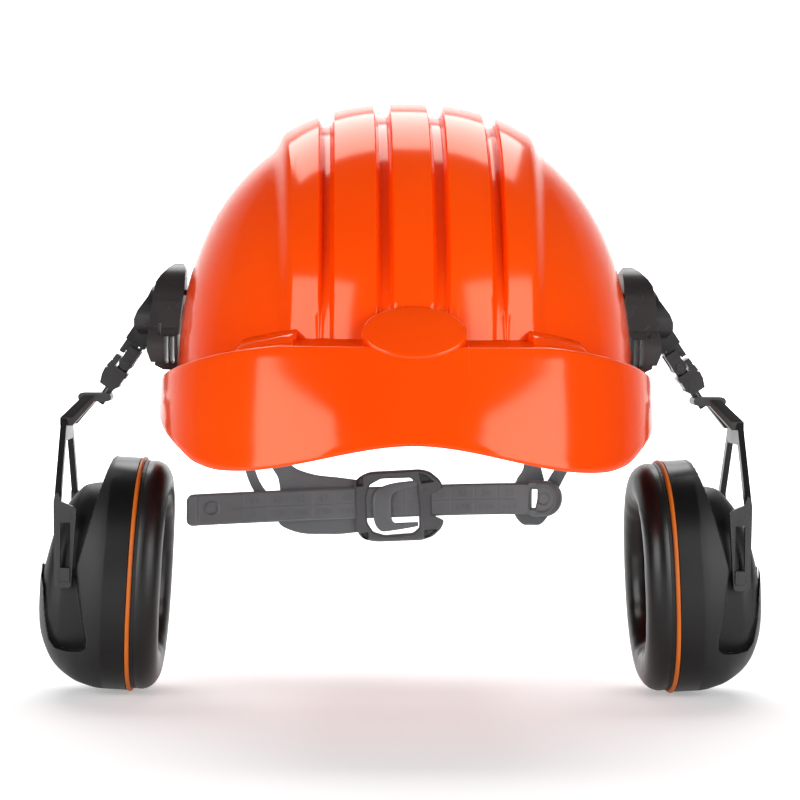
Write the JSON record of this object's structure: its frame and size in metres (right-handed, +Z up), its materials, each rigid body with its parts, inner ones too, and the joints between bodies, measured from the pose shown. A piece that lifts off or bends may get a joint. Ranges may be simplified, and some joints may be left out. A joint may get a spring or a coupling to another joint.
{
  "type": "safety helmet with earmuffs",
  "caption": "Ribbed industrial safety helmet with short peak, adjustable nape strap and hinged earmuffs swung out to standby on forked arms.",
  "frame": {"origin": "on the middle plane of the helmet, level with the shell's side rim and between the two earmuff adaptors, where the harness holds it on a head", "axes": "+Z up through the crown, -Y towards the front of the peak, +X towards the wearer's left"},
  "size_m": [0.3312, 0.273, 0.268],
  "materials": {
    "shell_plastic": "glossy moulded high-visibility orange",
    "harness_plastic": "satin moulded, fine grain",
    "strap_plastic": "satin moulded polyethylene",
    "buckle_plastic": "satin moulded nylon",
    "sweat_foam": "brushed fabric over foam",
    "webbing": "woven polyester",
    "arm_plastic": "satin moulded nylon",
    "cup_plastic": "fine-textured satin",
    "ring_plastic": "satin orange",
    "cushion_skin": "smooth soft film over foam",
    "liner_foam": "open-cell foam",
    "pin_steel": "blackened steel"
  },
  "bodies": {
    "helmet": {"shell": "shell_plastic", "headband": "harness_plastic", "sweatband": "sweat_foam", "cradle_strap_a": "webbing", "cradle_strap_b": "webbing", "harness_clips": "harness_plastic", "nape_strap": "strap_plastic", "nape_buckle": "buckle_plastic", "buckle_tongue": "buckle_plastic", "nape_arm_right": "strap_plastic", "nape_arm_left": "strap_plastic", "nape_knuckle": "buckle_plastic", "nape_studs": "harness_plastic", "left_adaptor": "arm_plastic", "left_lock_tab": "arm_plastic", "right_adaptor": "arm_plastic", "right_lock_tab": "arm_plastic"},
    "left_turner": {"left_swivel": "arm_plastic", "left_arm": "arm_plastic", "left_knuckle_pin": "pin_steel"},
    "left_hanger": {"left_link": "arm_plastic", "left_stem": "arm_plastic"},
    "left_yoke": {"left_fork": "arm_plastic"},
    "left_carrier": {"left_pegs": "arm_plastic"},
    "left_muff": {"left_cup": "cup_plastic", "left_foam": "liner_foam", "left_plate": "cup_plastic", "left_ring": "ring_plastic", "left_cushion": "cushion_skin"},
    "right_turner": {"right_swivel": "arm_plastic", "right_arm": "arm_plastic", "right_knuckle_pin": "pin_steel"},
    "right_hanger": {"right_link": "arm_plastic", "right_stem": "arm_plastic"},
    "right_yoke": {"right_fork": "arm_plastic"},
    "right_carrier": {"right_pegs": "arm_plastic"},
    "right_muff": {"right_cup": "cup_plastic", "right_foam": "liner_foam", "right_plate": "cup_plastic", "right_ring": "ring_plastic", "right_cushion": "cushion_skin"}
  },
  "joints": [
    {"name": "left_park", "type": "hinge", "parent": "helmet", "child": "left_turner", "pos_m": [0.11, 0.008, 0.027], "axis": [-1, 0, 0], "range_deg": [-10, 20]},
    {"name": "left_swing", "type": "hinge", "parent": "left_turner", "child": "left_hanger", "pos_m": [0.126, 0.008, 0.0035], "axis": [0, 1, 0], "range_deg": [0, 16]},
    {"name": "left_fork_turn", "type": "hinge", "parent": "left_hanger", "child": "left_yoke", "pos_m": [0.13495, 0.008, -0.00976], "axis": [0.5592, 0, -0.829], "range_deg": [-10, 10]},
    {"name": "left_height", "type": "slide", "parent": "left_yoke", "child": "left_carrier", "axis": [0, 0, 1], "range_m": [0, 0.016]},
    {"name": "left_tilt", "type": "hinge", "parent": "left_carrier", "child": "left_muff", "pos_m": [0.14969, 0.00834, -0.09], "axis": [-0.0349, 0.9994, 0], "range_deg": [-7, 7]},
    {"name": "right_park", "type": "hinge", "parent": "helmet", "child": "right_turner", "pos_m": [-0.11, 0.008, 0.027], "axis": [-1, 0, 0], "range_deg": [-10, 20]},
    {"name": "right_swing", "type": "hinge", "parent": "right_turner", "child": "right_hanger", "pos_m": [-0.126, 0.008, 0.0035], "axis": [0, -1, 0], "range_deg": [0, 16]},
    {"name": "right_fork_turn", "type": "hinge", "parent": "right_hanger", "child": "right_yoke", "pos_m": [-0.13495, 0.008, -0.00976], "axis": [0.5592, 0, 0.829], "range_deg": [-10, 10]},
    {"name": "right_height", "type": "slide", "parent": "right_yoke", "child": "right_carrier", "axis": [0, 0, 1], "range_m": [0, 0.016]},
    {"name": "right_tilt", "type": "hinge", "parent": "right_carrier", "child": "right_muff", "pos_m": [-0.14969, 0.00834, -0.09], "axis": [-0.0349, -0.9994, 0], "range_deg": [-7, 7]}
  ]
}
